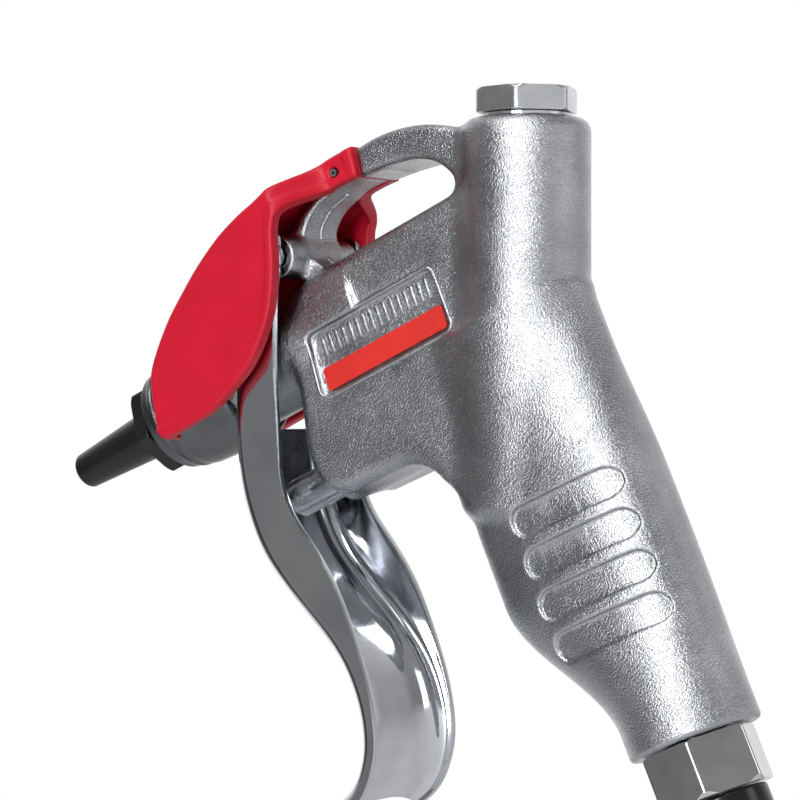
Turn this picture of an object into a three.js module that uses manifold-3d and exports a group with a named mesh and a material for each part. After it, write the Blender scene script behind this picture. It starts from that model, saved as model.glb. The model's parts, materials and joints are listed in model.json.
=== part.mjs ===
// Pistol-grip compressed-air blow gun, in millimetres, +Z up.
// Origin: centre of the lowest face of the air inlet. The grip stands on +Z, the nozzle
// points along -X, and the badge side of the casting faces -Y.
import * as THREE from 'three';
import { LoftGeometry } from 'three/addons/geometries/LoftGeometry.js';
import { mergeVertices } from 'three/addons/utils/BufferGeometryUtils.js';
import Module from 'manifold-3d';

const wasm = await Module();
wasm.setup();

// ---------------------------------------------------------------- driving dimensions
const GAP = 0.3; // clearance between touching pieces
const COLLAR_Z = 15; // lower end of the casting
const RING_TOP = 4.2; // top of the black seat ring under the inlet hex
const INLET_AF = 19; // inlet hexagon, across flats
const THREAD_R = 6; // inlet shank in the grip
const SOCKET_R = 5.7; // hose socket in the inlet hex
const SOCKET_TOP = 12.5;

const TILT = THREE.MathUtils.degToRad(24); // lean of the valve cylinder, backwards
const VALVE_Z = 102; // height at which the valve axis crosses x = 0
const CYLINDER_R = 11.85;
const CYLINDER_TOP = 32; // measured along the valve axis from VALVE_Z
const CAP_AF = 17;
const CAP_HEIGHT = 4.5;

const NOZZLE_Z = 113.8; // height of the nozzle axis
const BARREL_R = 10.2;
const BARREL_END = 70.5; // distances in front of the grip axis
const SLEEVE_END = 84.7;
const SLEEVE_REAR = 64.5;
const SLEEVE_R = 11.8;
const TIP_END = 110.4;
const NOZZLE_AF = 17;
const AIR_R = 3.2; // outlet passage

const PIN_Z = 87.7; // height of the push pin
const PIN_R = 2.4;
const PIN_BUTTON_R = 3.8; // the thick front part that the lever presses
const PIN_SHOULDER = 45.6; // distances in front of the grip axis
const PIN_HEAD = 64.6;
const PIN_TRAVEL = 4.4;
const CONE_ANGLE = THREE.MathUtils.degToRad(18); // half angle of the push pin's nose
const STEM_FOOT = (PIN_Z + 0.96 - VALVE_Z) / Math.cos(TILT); // along the valve axis
const CHAMBER_LOW = STEM_FOOT + 7.75; // floor of the air chamber below the valve seat
const PIN_NOSE = -STEM_FOOT * Math.sin(TILT) - 0.63; // end of the nose, under the stem's foot

const PIVOT = new THREE.Vector2(-42, 129); // lever pivot, x and z
const PIVOT_R = 2;
const BOSS_R = 4; // casting's boss round the pivot
const BOSS_HALF = 10.5;
const EAR_R = 4.2; // lever's ears round the pivot
const LEVER_HALF = 12.3;
const LEVER_WALL = 1.4;
const WINDOW_LOW = 102.2; // above this the lever is open in front, for the barrel

const WEB_HALF = 9.3;
const ARCH_HALF = 7;
const LOOP_HALF = 5.4;
const COVER_HALF = 17.2;
const COVER_WALL = 2.4;
const COVER_PIN = new THREE.Vector2(-25.8, 139); // roll pin through the cover's tab

const GROOVES = 4; // finger grooves on each side of the grip
const GROOVE_PITCH = 7.9;
const GROOVE_LOW_Z = 38;
const GROOVE_R = 2.75;
const GROOVE_DEPTH = 0.8;

// ---------------------------------------------------------------- solids
/** Turns a closed geometry into a manifold solid. */
function solid(geometry) {
  const bare = geometry.index ? geometry.toNonIndexed() : geometry.clone();
  bare.deleteAttribute('normal');
  bare.deleteAttribute('uv');
  const merged = mergeVertices(bare, 1e-4);
  const corners = merged.index.array;
  const kept = [];
  for (let i = 0; i < corners.length; i += 3) {
    const [a, b, c] = corners.slice(i, i + 3);
    if (a !== b && b !== c && c !== a) kept.push(a, b, c);
  }
  const vertProperties = new Float32Array(merged.attributes.position.array);
  const triVerts = new Uint32Array(kept);
  return new wasm.Manifold(new wasm.Mesh({ numProp: 3, vertProperties, triVerts }));
}

/** Turns a manifold solid back into a geometry with flat faces. */
function geometryOf(shape) {
  const { vertProperties, triVerts } = shape.getMesh();
  const geometry = new THREE.BufferGeometry();
  geometry.setAttribute('position', new THREE.BufferAttribute(vertProperties, 3));
  geometry.setIndex(new THREE.BufferAttribute(triVerts, 1));
  const faceted = geometry.toNonIndexed();
  faceted.computeVertexNormals();
  return faceted;
}

const union = (...shapes) => shapes.reduce((whole, piece) => whole.add(piece));
const cut = (body, ...tools) => tools.reduce((left, tool) => left.subtract(tool), body);

/** Revolves [radius, height] pairs, listed upwards, round +Z. */
function turned(profile, segments = 32) {
  const points = profile.map(([radius, height]) => new THREE.Vector2(radius, height));
  return new THREE.LatheGeometry(points, segments).rotateX(Math.PI / 2);
}

/** A plain rod round +Z, from one height to another. */
const rod = (radius, low, high, segments = 20) =>
  turned([[0, low], [radius, low], [radius, high], [0, high]], segments);

/** A washer round +Z. */
const ring = (inner, outer, low, high, segments = 28) =>
  turned([[inner, low], [outer, low], [outer, high], [inner, high], [inner, low]], segments);

/** An O-ring round +Z: the circle of its section closes on itself. */
function oRing(middle, wire, height, segments = 28) {
  const sides = 6;
  const profile = [];
  for (let i = 0; i <= sides; i += 1) {
    const turn = (i % sides) * 2 * Math.PI / sides - Math.PI / 2;
    profile.push([middle + wire * Math.cos(turn), height + wire * Math.sin(turn)]);
  }
  return turned(profile, segments);
}

/** A hexagonal bar round +Z whose corners are turned down at its lower and upper ends. */
function hexBar(acrossFlats, low, high, cornerAngle, lowTurn, highTurn) {
  const corner = acrossFlats / Math.sqrt(3);
  const shape = new THREE.Shape();
  for (let i = 0; i < 6; i += 1) {
    const turn = cornerAngle + i * Math.PI / 3;
    shape[i ? 'lineTo' : 'moveTo'](corner * Math.cos(turn), corner * Math.sin(turn));
  }
  shape.closePath();
  const bar = new THREE.ExtrudeGeometry(shape, { depth: high - low, bevelEnabled: false });
  const envelope = turned([
    [0, low], [corner - lowTurn, low], [corner + 0.2, low + lowTurn],
    [corner + 0.2, high - highTurn / 2], [corner - highTurn, high], [0, high],
  ], 36);
  return solid(bar.translate(0, 0, low)).intersect(solid(envelope));
}

/** Extrudes an x-z outline along Y, centred on y = 0, with its long edges rounded. */
function plate(outline, half, rounding = 0, steps = 3) {
  const geometry = new THREE.ExtrudeGeometry(new THREE.Shape(outline), {
    depth: 2 * (half - rounding),
    curveSegments: 10,
    bevelEnabled: rounding > 0,
    bevelThickness: rounding,
    bevelSize: rounding,
    bevelOffset: -rounding,
    bevelSegments: steps,
  });
  return geometry.translate(0, 0, rounding - half).rotateX(Math.PI / 2);
}

/** A cylinder along Y through an x-z point. */
const crossPin = (centre, radius, from, to, segments = 24) =>
  rod(radius, from, to, segments).rotateX(-Math.PI / 2).translate(centre.x, 0, centre.y);

/** Points of a smooth open curve through [x, z] pairs. */
function smooth(pairs, steps = 4) {
  const knots = pairs.map(([x, z]) => new THREE.Vector2(x, z));
  return new THREE.SplineCurve(knots).getPoints(steps * (pairs.length - 1));
}

/** Points of an arc: centre, radius, start and end angle in degrees. */
function arc(x, z, radius, start, end, steps = 6) {
  const points = [];
  for (let i = 0; i <= steps; i += 1) {
    const turn = THREE.MathUtils.degToRad(start + (end - start) * i / steps);
    points.push(new THREE.Vector2(x + radius * Math.cos(turn), z + radius * Math.sin(turn)));
  }
  return points;
}

const point = (x, z) => new THREE.Vector2(x, z);

/** Moves a geometry made round +Z on to the valve axis. */
const onValveAxis = (geometry) => geometry.rotateY(TILT).translate(0, 0, VALVE_Z);

/** Moves a geometry made round +Z so that it points forwards (-X) at a height. */
const forwards = (geometry, height) => geometry.rotateY(-Math.PI / 2).translate(0, 0, height);

// ---------------------------------------------------------------- grip
/** The grip's section at height z: how far it reaches forwards, back and sideways. */
function gripReach(z) {
  const swell = THREE.MathUtils.smoothstep(z, COLLAR_Z + 5, COLLAR_Z + 35);
  const crown = THREE.MathUtils.smoothstep(z, 62, 88);
  return {
    front: 12.4 + 13.3 * swell,
    rear: 12.2,
    side: 12.2 - 0.6 * swell,
    squareness: 2 + 0.9 * swell * (1 - crown),
    narrowing: 0.2 * swell + 0.28 * crown,
  };
}

/** One closed ring of the grip, drawn in by inset. */
function gripRing(z, inset) {
  const { front, rear, side, squareness, narrowing } = gripReach(z);
  const count = 32;
  const middle = (rear - front) / 2;
  const reach = (rear + front) / 2 - inset;
  const points = [];
  for (let i = 0; i < count; i += 1) {
    const turn = i * 2 * Math.PI / count;
    const c = Math.cos(turn);
    const s = Math.sin(turn);
    const along = Math.sign(c) * Math.abs(c) ** (2 / squareness);
    const across = Math.sign(s) * Math.abs(s) ** (2 / squareness);
    const taper = 1 - narrowing * Math.max(0, -along) ** 2;
    points.push(new THREE.Vector3(middle + reach * along, (side - inset) * across * taper, z));
  }
  return points;
}

function gripLoft(inset = 0) {
  const heights = [15, 15.8, 20, 25, 30, 35, 40, 45, 50, 62, 68, 74, 80, 86, 93, 100.5];
  const rings = heights.map((z) => gripRing(z, inset + (z === COLLAR_Z ? 0.8 : 0)));
  return new LoftGeometry(rings, { capStart: true, capEnd: true });
}

/** Finger grooves: stadium pockets that follow the grip's surface on both sides. */
function gripGrooves() {
  const pockets = [];
  for (let i = 0; i < GROOVES; i += 1) {
    const z = GROOVE_LOW_Z + i * GROOVE_PITCH;
    const stadium = [
      ...arc(6.2, z, GROOVE_R, -90, 90, 4),
      ...arc(-12 + 0.4 * i, z, GROOVE_R, 90, 270, 4),
    ];
    pockets.push(solid(plate(stadium, 16)));
  }
  const core = solid(gripLoft(GROOVE_DEPTH));
  return union(...pockets).subtract(core);
}

// ---------------------------------------------------------------- casting
function valveCylinder() {
  const fillet = 2.7;
  const profile = [[0, -42], [5, -42], [CYLINDER_R - 0.6, -33], [CYLINDER_R, -30]];
  for (let i = 0; i <= 4; i += 1) {
    const turn = i * Math.PI / 8;
    profile.push([
      CYLINDER_R - fillet + fillet * Math.cos(turn),
      CYLINDER_TOP - fillet + fillet * Math.sin(turn),
    ]);
  }
  profile.push([0, CYLINDER_TOP]);
  return solid(onValveAxis(turned(profile, 36)));
}

/** The flat-sided web between the valve cylinder, the barrel and the grip. */
function web() {
  const outline = [
    point(2, 123.3), point(-37.5, 123.3),
    ...smooth([[-40.5, 122.9], [-44, 120.4], [-46.8, 116.6], [-48.4, 110.5], [-50.1, 101],
      [-52.1, 93], [-51.8, 87.6], [-49.8, 84], [-46, 82.2]], 2),
    ...arc(-34.5, 72.8, 9, 90, 20, 4),
    point(-20, 66), point(-8, 70),
  ];
  return solid(plate(outline, WEB_HALF, 2.8, 3));
}

/** The hanging loop: a bar that leaves the cylinder, arches forwards and drops to the web. */
function arch() {
  const outer = smooth([[6, 131.5], [1.4, 135], [-3.6, 138], [-9, 140], [-14.6, 141],
    [-19.6, 141]], 2);
  const inner = smooth([[-20.5, 136], [-14.7, 134.9], [-9, 133.4], [-5, 131], [-2.6, 127.6],
    [-2.4, 125], [-3.6, 122.5]], 2);
  const bar = plate([...outer, ...inner, point(4, 118)], ARCH_HALF, 1.6, 2);
  const front = [
    point(-16, 140.6), ...smooth([[-19.6, 140.6], [-26, 139.9], [-30.5, 138], [-35, 136.3],
      [-39, 134.3], [-41.2, 131.5], [-41.8, 127], [-41.4, 121]], 2),
    point(-34, 117), point(-34.4, 123),
    ...smooth([[-36.2, 124.2], [-38.1, 127.6], [-38.2, 130.2], [-36.8, 133], [-33.8, 135.1],
      [-30.4, 136], [-26, 136.6], [-20.4, 136], [-16, 135.4]], 2),
  ];
  return solid(bar).add(solid(plate(front, LOOP_HALF, 0.6, 2)));
}

function castingOutside() {
  const barrel = rod(BARREL_R, 40, BARREL_END, 32);
  const spigot = rod(8, BARREL_END - 2, 79, 28);
  const pinBoss = rod(PIN_BUTTON_R + 1.7, 12, 50.8, 28);
  const pivotBoss = crossPin(PIVOT, BOSS_R, -BOSS_HALF, BOSS_HALF, 24);
  return union(
    solid(gripLoft()),
    valveCylinder(),
    web(),
    arch(),
    solid(forwards(barrel, NOZZLE_Z)),
    solid(forwards(spigot, NOZZLE_Z)),
    solid(forwards(pinBoss, PIN_Z)),
    solid(pivotBoss),
  );
}

/** Bores for air, valve, push pin, pivot and cover pin. Every one opens to the outside. */
function castingBores() {
  const valve = turned([
    [0, CHAMBER_LOW], [4.6, CHAMBER_LOW], [4.6, 4], [5.8, 4], [5.8, 22], [7.1, 22], [7.1, 34],
    [0, 34],
  ], 24);
  const stemPassage = rod(2.5, STEM_FOOT - 4, CHAMBER_LOW + 1);
  const airWay = rod(4.5, COLLAR_Z + 10, 72);
  const gallery = rod(2.4, 68, 106, 20).translate(4.6, 0, 0);
  const inletThread = rod(THREAD_R + GAP, COLLAR_Z - 1, COLLAR_Z + 12);
  const outlet = rod(AIR_R, -2, 80);
  const sealGroove = ring(6.6, 9, 75.1, 77);
  const pinBore = rod(PIN_R + GAP, PIN_NOSE - PIN_TRAVEL - 0.8, 40);
  const glandSeat = rod(PIN_BUTTON_R + GAP, 33.7, 60, 32);
  return [
    onValveAxis(valve),
    onValveAxis(stemPassage),
    airWay,
    gallery,
    inletThread,
    forwards(outlet, NOZZLE_Z),
    forwards(sealGroove, NOZZLE_Z),
    forwards(pinBore, PIN_Z),
    forwards(glandSeat, PIN_Z),
    crossPin(PIVOT, PIVOT_R + GAP, -20, 20),
    crossPin(COVER_PIN, 1.05, -20, 20, 16),
  ].map(solid);
}

/** The slanted rounded field on each side of the web that holds the badge. */
function badgeOutline(inset) {
  const r = 2.4 - inset;
  const left = -44.3 + inset;
  const right = -11.2 - inset;
  const low = 99.5 + inset;
  const high = 113.4 - inset;
  return [
    ...arc(right - r, low + r, r, -90, 0, 4),
    ...arc(right - r, high - r, r, 0, 90, 4),
    ...arc(left + r + 1, high - r, r, 90, 180, 4),
    ...arc(left + r, low + r, r, 180, 270, 4),
  ];
}

function badgePockets() {
  const pocket = (side) => plate(badgeOutline(0.9), 2).translate(0, side * (WEB_HALF + 1.4), 0);
  return [solid(pocket(-1)), solid(pocket(1))];
}

const casting = () => cut(castingOutside(), gripGrooves(), ...castingBores(), ...badgePockets());

/** Label strip set in the lower part of the badge field, on the -Y side. */
function labelPlate() {
  const outline = [
    ...arc(-13.4, 101.6, 0.6, -90, 0, 2),
    ...arc(-13.2, 104.8, 0.6, 0, 90, 2),
    ...arc(-41.2, 104.8, 0.6, 90, 180, 2),
    ...arc(-41.4, 101.6, 0.6, 180, 270, 2),
  ];
  return plate(outline, 0.1).translate(0, -(WEB_HALF - 0.6) - GAP, 0);
}

// ---------------------------------------------------------------- valve pieces (round +Z)
function valveCap() {
  const shank = rod(6.8, 24.5, CYLINDER_TOP + 1, 36);
  const hex = hexBar(CAP_AF, CYLINDER_TOP + 0.9, CYLINDER_TOP + 0.9 + CAP_HEIGHT, -1.22, 0.2, 0.6);
  return geometryOf(hex.add(solid(shank)).subtract(solid(rod(4.6, 24, 29.5))));
}

const capWasher = () => ring(7.1, 8.2, CYLINDER_TOP + 0.2, CYLINDER_TOP + 0.7);

/** Compression spring: a wire swept along a helix, its ends stopping in the last coil. */
function valveSpring() {
  const radius = 3.5;
  const low = 12.9;
  const high = 28.6;
  const coils = 7;
  const route = new THREE.Curve();
  route.getPoint = (t, target = new THREE.Vector3()) => {
    const turn = t * coils * 2 * Math.PI;
    return target.set(radius * Math.cos(turn), radius * Math.sin(turn), low + (high - low) * t);
  };
  const wire = new THREE.Shape();
  wire.absarc(0, 0, 0.45, 0, 2 * Math.PI);
  return new THREE.ExtrudeGeometry(wire, { steps: coils * 10, curveSegments: 2, extrudePath: route });
}

/** Valve stem: its foot rests on the push pin's nose, its head closes the seat. */
const valveStem = () => turned([
  [0, STEM_FOOT], [0.9, STEM_FOOT], [1.5, STEM_FOOT + 0.65], [1.5, STEM_FOOT + 2.75],
  [1.05, STEM_FOOT + 2.75], [1.05, STEM_FOOT + 4.55], [1.5, STEM_FOOT + 4.55], [1.5, 8.4],
  [1.5, 9.8], [4.3, 9.8], [4.3, 12], [2.2, 12.3], [2.2, 17.5], [1.8, 18], [0, 18],
], 24);

const stemORing = () => oRing(1.75, 0.5, STEM_FOOT + 3.65, 24);
const seatSeal = () => ring(1.5 + GAP, 4, 8.6, 9.5, 28);
const valveSeat = () => turned([
  [2.8, 4.3], [5.5, 4.3], [5.5, 7.4], [3.9, 7.4], [3.6, 8.3], [2.8, 8.3], [2.8, 4.3],
], 24);

// ---------------------------------------------------------------- push pin (round +Z, forwards)
/** Thick domed button in front, conical nose behind: +Z is the way the nozzle points. */
function pushPin() {
  const noseLength = (PIN_R - 0.5) / Math.tan(CONE_ANGLE);
  return turned([
    [0, PIN_NOSE], [0.5, PIN_NOSE], [PIN_R, PIN_NOSE + noseLength], [PIN_R, 30], [1.7, 30],
    [1.7, 32], [PIN_R, 32], [PIN_R, PIN_SHOULDER], [PIN_BUTTON_R, PIN_SHOULDER],
    [PIN_BUTTON_R, PIN_HEAD - 2], [PIN_BUTTON_R - 0.9, PIN_HEAD - 0.8], [1.6, PIN_HEAD - 0.2],
    [0, PIN_HEAD],
  ], 28);
}

const pinORing = () => oRing(2.1, 0.32, 31, 24);

/** Bush screwed in behind the button: it guides the pin and closes the seal's bore. */
const glandNut = () => ring(PIN_R + GAP, PIN_BUTTON_R, 34, 40, 32);

// ---------------------------------------------------------------- lever
/** Stations down the lever: its front face, its flanges' free edges, and its corner width. */
const LEVER_STATIONS = [
  { front: [-46.6, 130.6], rear: [-38.7, 131], corner: 3 },
  { front: [-48.8, 126], rear: [-41, 125.6], corner: 3 },
  { front: [-53, 119.5], rear: [-44, 120.4], corner: 3 },
  { front: [-57.6, 112.2], rear: [-47, 114.2], corner: 3 },
  { front: [-61.3, 105], rear: [-50, 107.2], corner: 3 },
  { front: [-64, 98], rear: [-52.6, 99.6], corner: 3 },
  { front: [-65.5, 93], rear: [-54.9, 93.4], corner: 3 },
  { front: [-66.3, 87.5], rear: [-56.8, 87.1], corner: 3 },
  { front: [-66.4, 81], rear: [-56.2, 80.6], corner: 3 },
  { front: [-65.3, 75], rear: [-54.4, 74.4], corner: 3.2 },
  { front: [-62.6, 67], rear: [-52.9, 67.2], corner: 3.6 },
  { front: [-59.8, 60], rear: [-52.6, 60.2], corner: 4.4 },
  { front: [-58, 53], rear: [-52.8, 53.2], corner: 6 },
  { front: [-57.8, 46], rear: [-53.4, 46], corner: 7 },
  { front: [-58.8, 40], rear: [-54.9, 39.6], corner: 7 },
  { front: [-60.4, 35.6], rear: [-57, 34.4], corner: 7 },
  { front: [-63.2, 31.8], rear: [-60.8, 29.8], corner: 7 },
  { front: [-66.6, 29.6], rear: [-65, 26.9], corner: 7 },
  { front: [-70.6, 28.6], rear: [-69.8, 25.8], corner: 7 },
];

/** The lever's U section, in the plane of Y and the line from its front to its free edges. */
function channelRing(front, rear, corner) {
  const depth = rear.clone().sub(front);
  const reach = depth.length();
  depth.normalize();
  const half = LEVER_HALF;
  const wall = LEVER_WALL;
  const turnIn = Math.min(3.2, reach - 0.8);
  const section = [];
  const bend = (side, thickness, start, end) => {
    for (let i = 0; i <= 3; i += 1) {
      const turn = start + (end - start) * i / 3;
      const across = half - corner + (corner - thickness) * Math.sin(turn);
      section.push([side * across, turnIn - (turnIn - thickness) * Math.cos(turn)]);
    }
  };
  section.push([half, reach]);
  bend(1, 0, Math.PI / 2, 0);
  bend(-1, 0, 0, Math.PI / 2);
  section.push([-half, reach], [wall - half, reach]);
  bend(-1, wall, Math.PI / 2, 0);
  bend(1, wall, 0, Math.PI / 2);
  section.push([half - wall, reach]);
  return section.reverse().map(([y, back]) =>
    new THREE.Vector3(front.x + depth.x * back, y, front.y + depth.y * back));
}

function leverChannel() {
  const curve = (key) => new THREE.SplineCurve(LEVER_STATIONS.map((s) => point(...s[key])));
  const fronts = curve('front');
  const rears = curve('rear');
  const last = LEVER_STATIONS.length - 1;
  const rings = [];
  for (let i = 0; i <= 2 * last; i += 1) {
    const t = i / (2 * last);
    const [before, after] = [Math.floor(i / 2), Math.ceil(i / 2)].map((n) => LEVER_STATIONS[n]);
    const corner = (before.corner + after.corner) / 2;
    rings.push(channelRing(fronts.getPoint(t), rears.getPoint(t), corner));
  }
  return new LoftGeometry(rings, { capStart: true, capEnd: true });
}

function lever() {
  const inner = LEVER_HALF - LEVER_WALL;
  const ear = (from, to) => solid(crossPin(PIVOT, EAR_R, from, to, 28));
  const window = new THREE.BoxGeometry(60, 2 * inner, 60).translate(-60, 0, WINDOW_LOW + 30);
  const body = union(solid(leverChannel()), ear(-LEVER_HALF, -inner), ear(inner, LEVER_HALF));
  return geometryOf(cut(body, solid(window), solid(crossPin(PIVOT, PIVOT_R + GAP, -20, 20))));
}

/** Pivot pin with a flat head on the badge side and a groove for its clip. */
function leverPin() {
  const out = LEVER_HALF + GAP;
  const profile = turned([
    [0, -out - 1.2], [2.9, -out - 1.2], [3.2, -out - 0.9], [3.2, -out], [PIVOT_R, -out],
    [PIVOT_R, out + 0.2], [1.5, out + 0.2], [1.5, out + 1], [PIVOT_R, out + 1],
    [PIVOT_R - 0.3, out + 1.5], [0, out + 1.5],
  ], 24);
  return profile.rotateX(-Math.PI / 2);
}

/** E-clip in the pin's groove: a flat ring with a mouth. */
function pinClip() {
  const whole = solid(ring(1.5 + GAP, 3.4, LEVER_HALF + 0.6, LEVER_HALF + 1.1, 28));
  const mouth = new THREE.BoxGeometry(2.6, 4, 2).translate(0, -3, LEVER_HALF + 0.8);
  return geometryOf(whole.subtract(solid(mouth))).rotateX(-Math.PI / 2);
}

// ---------------------------------------------------------------- cover
/** Upper line of the cover, from the tab's end to the nose. */
const coverTop = () => smooth([
  [-20.2, 142], [-25, 142.3], [-28.5, 142.1], [-31.6, 141.2], [-35, 140], [-39, 139],
  [-43.5, 138.2], [-49.3, 136.6], [-55.5, 133.7], [-61.2, 130.7], [-67.5, 126.6], [-74.2, 120.4],
  [-76.4, 115.4], [-78, 108.4],
], 2);

/** Lower and rear line of the cover's cheeks, from the nose back to the tab. */
const coverRim = () => smooth([
  [-76.4, 106.2], [-70, 106.3], [-63.9, 106.6], [-58.6, 108.1], [-52.8, 110.3], [-48.6, 113.1],
  [-44.2, 117.2], [-41.2, 121.6], [-38.7, 126.7], [-37.1, 131.1], [-35.3, 134], [-32.4, 135.8],
  [-27, 136.4], [-21.1, 136],
], 2);

/** Plan of the cover: wide cheeks that draw in to the narrow tab at the back. */
function coverPlan(inset) {
  const wide = COVER_HALF - inset;
  const narrow = ARCH_HALF + 0.3 - inset;
  const back = 0.8 * inset; // keeps the wall's thickness where the plan turns inwards
  const edge = smooth([
    [-90, wide], [-60, wide], [-39 - back, wide], [-36 - back, wide - 0.3],
    [-34 - back, wide - 1.4], [-32 - back, wide - 3.6], [-30.4 - back, wide - 6.4],
    [-29 - back, narrow + 1], [-27.4 - back, narrow], [-10, narrow],
  ], 3);
  const mirrored = edge.map((p) => point(p.x, -p.y)).reverse();
  const shape = new THREE.Shape([...edge, ...mirrored]);
  return new THREE.ExtrudeGeometry(shape, { depth: 60, bevelEnabled: false }).translate(0, 0, 95);
}

function coverOutside() {
  const side = solid(plate([...coverTop(), ...coverRim()], COVER_HALF, 0.9, 2));
  return side.intersect(solid(coverPlan(0)));
}

/** Space under the roof and between the cheeks and the tab's walls. */
function coverInside() {
  const lowered = coverTop().map((p) => point(p.x + 0.9, p.y - COVER_WALL + 0.6));
  const under = [
    point(-10, 140.9), point(-27, 140.9), ...lowered.filter((p) => p.x < -28),
    point(-76.4, 100), point(-10, 100),
  ];
  const side = solid(plate(under, COVER_HALF - COVER_WALL, 1, 2));
  return side.intersect(solid(coverPlan(COVER_WALL - 0.7)));
}

function cover() {
  const room = SLEEVE_R + 0.6;
  const noseHole = solid(forwards(rod(room, 40, 100, 28), NOZZLE_Z));
  const noseMouth = new THREE.BoxGeometry(60, 2 * room, 40).translate(-90, 0, NOZZLE_Z - 20);
  return geometryOf(cut(
    coverOutside(),
    coverInside(),
    noseHole,
    solid(noseMouth),
    solid(crossPin(COVER_PIN, 1.05, -20, 20, 16)),
  ));
}

const coverRollPin = () => ring(0.3, 0.75, -ARCH_HALF, ARCH_HALF, 16).rotateX(-Math.PI / 2);

// ---------------------------------------------------------------- nozzle (round +Z, forwards)
const nozzleSleeve = () => turned([
  [BARREL_R + GAP, SLEEVE_REAR], [11.4, SLEEVE_REAR], [SLEEVE_R, SLEEVE_REAR + 0.8],
  [SLEEVE_R, 75], [11.5, 79.2], [11.2, 80], [11.2, 80.6], [10.7, 80.8], [10.7, 81.4], [11, 81.6],
  [10.8, 82.4], [10.2, 83], [10.2, SLEEVE_END - 0.3], [9.9, SLEEVE_END], [6, SLEEVE_END],
  [6, 80], [8.6, 80], [8.6, BARREL_END + GAP], [BARREL_R + GAP, BARREL_END + GAP],
  [BARREL_R + GAP, SLEEVE_REAR],
], 32);

const sleeveORing = () => oRing(7.5, 0.75, 76.05);
const nozzleGasket = () => ring(6.2, 8.4, SLEEVE_END + 0.15, SLEEVE_END + 0.75);

function nozzle() {
  const face = SLEEVE_END + 0.9;
  const hex = hexBar(NOZZLE_AF, face, face + 2.9, Math.PI / 2 - 0.3, 0.3, 0.8);
  const cone = turned([
    [0, 81], [5.7, 81], [5.7, face + 1], [5.2, face + 2.5], [5, face + 3.4],
    [3.65, TIP_END - 0.5], [3.3, TIP_END], [0, TIP_END],
  ], 32);
  const bore = turned([
    [0, 80], [3.2, 80], [3.2, 90], [1.3, 96], [1.3, TIP_END + 1], [0, TIP_END + 1],
  ], 24);
  return geometryOf(hex.add(solid(cone)).subtract(solid(bore)));
}

// ---------------------------------------------------------------- inlet
/** Hexagonal bush: a hose socket below, a shank screwed into the grip above. */
function inletBush() {
  const hex = hexBar(INLET_AF, RING_TOP + GAP, COLLAR_Z - GAP, -1.26, 0.8, 0.4);
  const shank = rod(THREAD_R, COLLAR_Z - 1, COLLAR_Z + 10, 28);
  const bore = turned([
    [0, 0], [SOCKET_R, 0], [SOCKET_R, SOCKET_TOP], [4.2, SOCKET_TOP], [4.2, 40], [0, 40],
  ], 28);
  return geometryOf(hex.add(solid(shank)).subtract(solid(bore)));
}

const inletRing = () => turned([
  [6, 0], [8.2, 0], [8.8, 0.6], [8.8, RING_TOP - 0.4], [8.4, RING_TOP], [6, RING_TOP], [6, 0],
]);

/** Cup-shaped strainer whose flange seats at the top of the hose socket. */
const inletStrainer = () => turned([
  [0, SOCKET_TOP + 8], [2.6, SOCKET_TOP + 8], [2.6, SOCKET_TOP - 0.9], [5.3, SOCKET_TOP - 0.9],
  [5.3, SOCKET_TOP - GAP], [3.6, SOCKET_TOP - GAP], [3.6, SOCKET_TOP + 7], [2.8, SOCKET_TOP + 9],
  [0, SOCKET_TOP + 9],
], 24);

// ---------------------------------------------------------------- assembly
const FINISH = {
  casting: { color: 0x8c8f94, roughness: 0.42, metalness: 0.9 },
  chrome: { color: 0xd5d8dc, roughness: 0.1, metalness: 1 },
  machined: { color: 0xaab0b5, roughness: 0.3, metalness: 1 },
  darkChrome: { color: 0x6a6d72, roughness: 0.34, metalness: 0.9 },
  brass: { color: 0xb8963e, roughness: 0.35, metalness: 1 },
  red: { color: 0xd41c3a, roughness: 0.5, metalness: 0 },
  label: { color: 0xe2402f, roughness: 0.4, metalness: 0 },
  blackPlastic: { color: 0x16181b, roughness: 0.35, metalness: 0 },
  rubber: { color: 0x111111, roughness: 0.7, metalness: 0 },
};

function piece(name, geometry, finish) {
  const mesh = new THREE.Mesh(geometry, new THREE.MeshStandardMaterial(FINISH[finish]));
  mesh.name = name;
  return mesh;
}

/** Pieces on the leaning valve axis. */
function valveGroup() {
  const group = new THREE.Group();
  group.position.z = VALVE_Z;
  group.rotation.y = TILT;
  group.add(
    piece('valve_cap', valveCap(), 'machined'),
    piece('cap_washer', capWasher(), 'machined'),
    piece('valve_spring', valveSpring(), 'machined'),
    piece('valve_stem', valveStem(), 'machined'),
    piece('valve_seat', valveSeat(), 'brass'),
    piece('seat_seal', seatSeal(), 'rubber'),
    piece('stem_o_ring', stemORing(), 'rubber'),
  );
  return group;
}

/** Pieces whose own +Z points forwards, at a height above the inlet. */
function forwardGroup(height, ...pieces) {
  const group = new THREE.Group();
  group.position.z = height;
  group.rotation.y = -Math.PI / 2;
  group.add(...pieces);
  return group;
}

/** The lever's pivot pieces, centred on the pivot. */
function pivotGroup() {
  const group = new THREE.Group();
  group.position.set(PIVOT.x, 0, PIVOT.y);
  group.add(piece('lever_pin', leverPin(), 'machined'), piece('pin_clip', pinClip(), 'machined'));
  return group;
}

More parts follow.
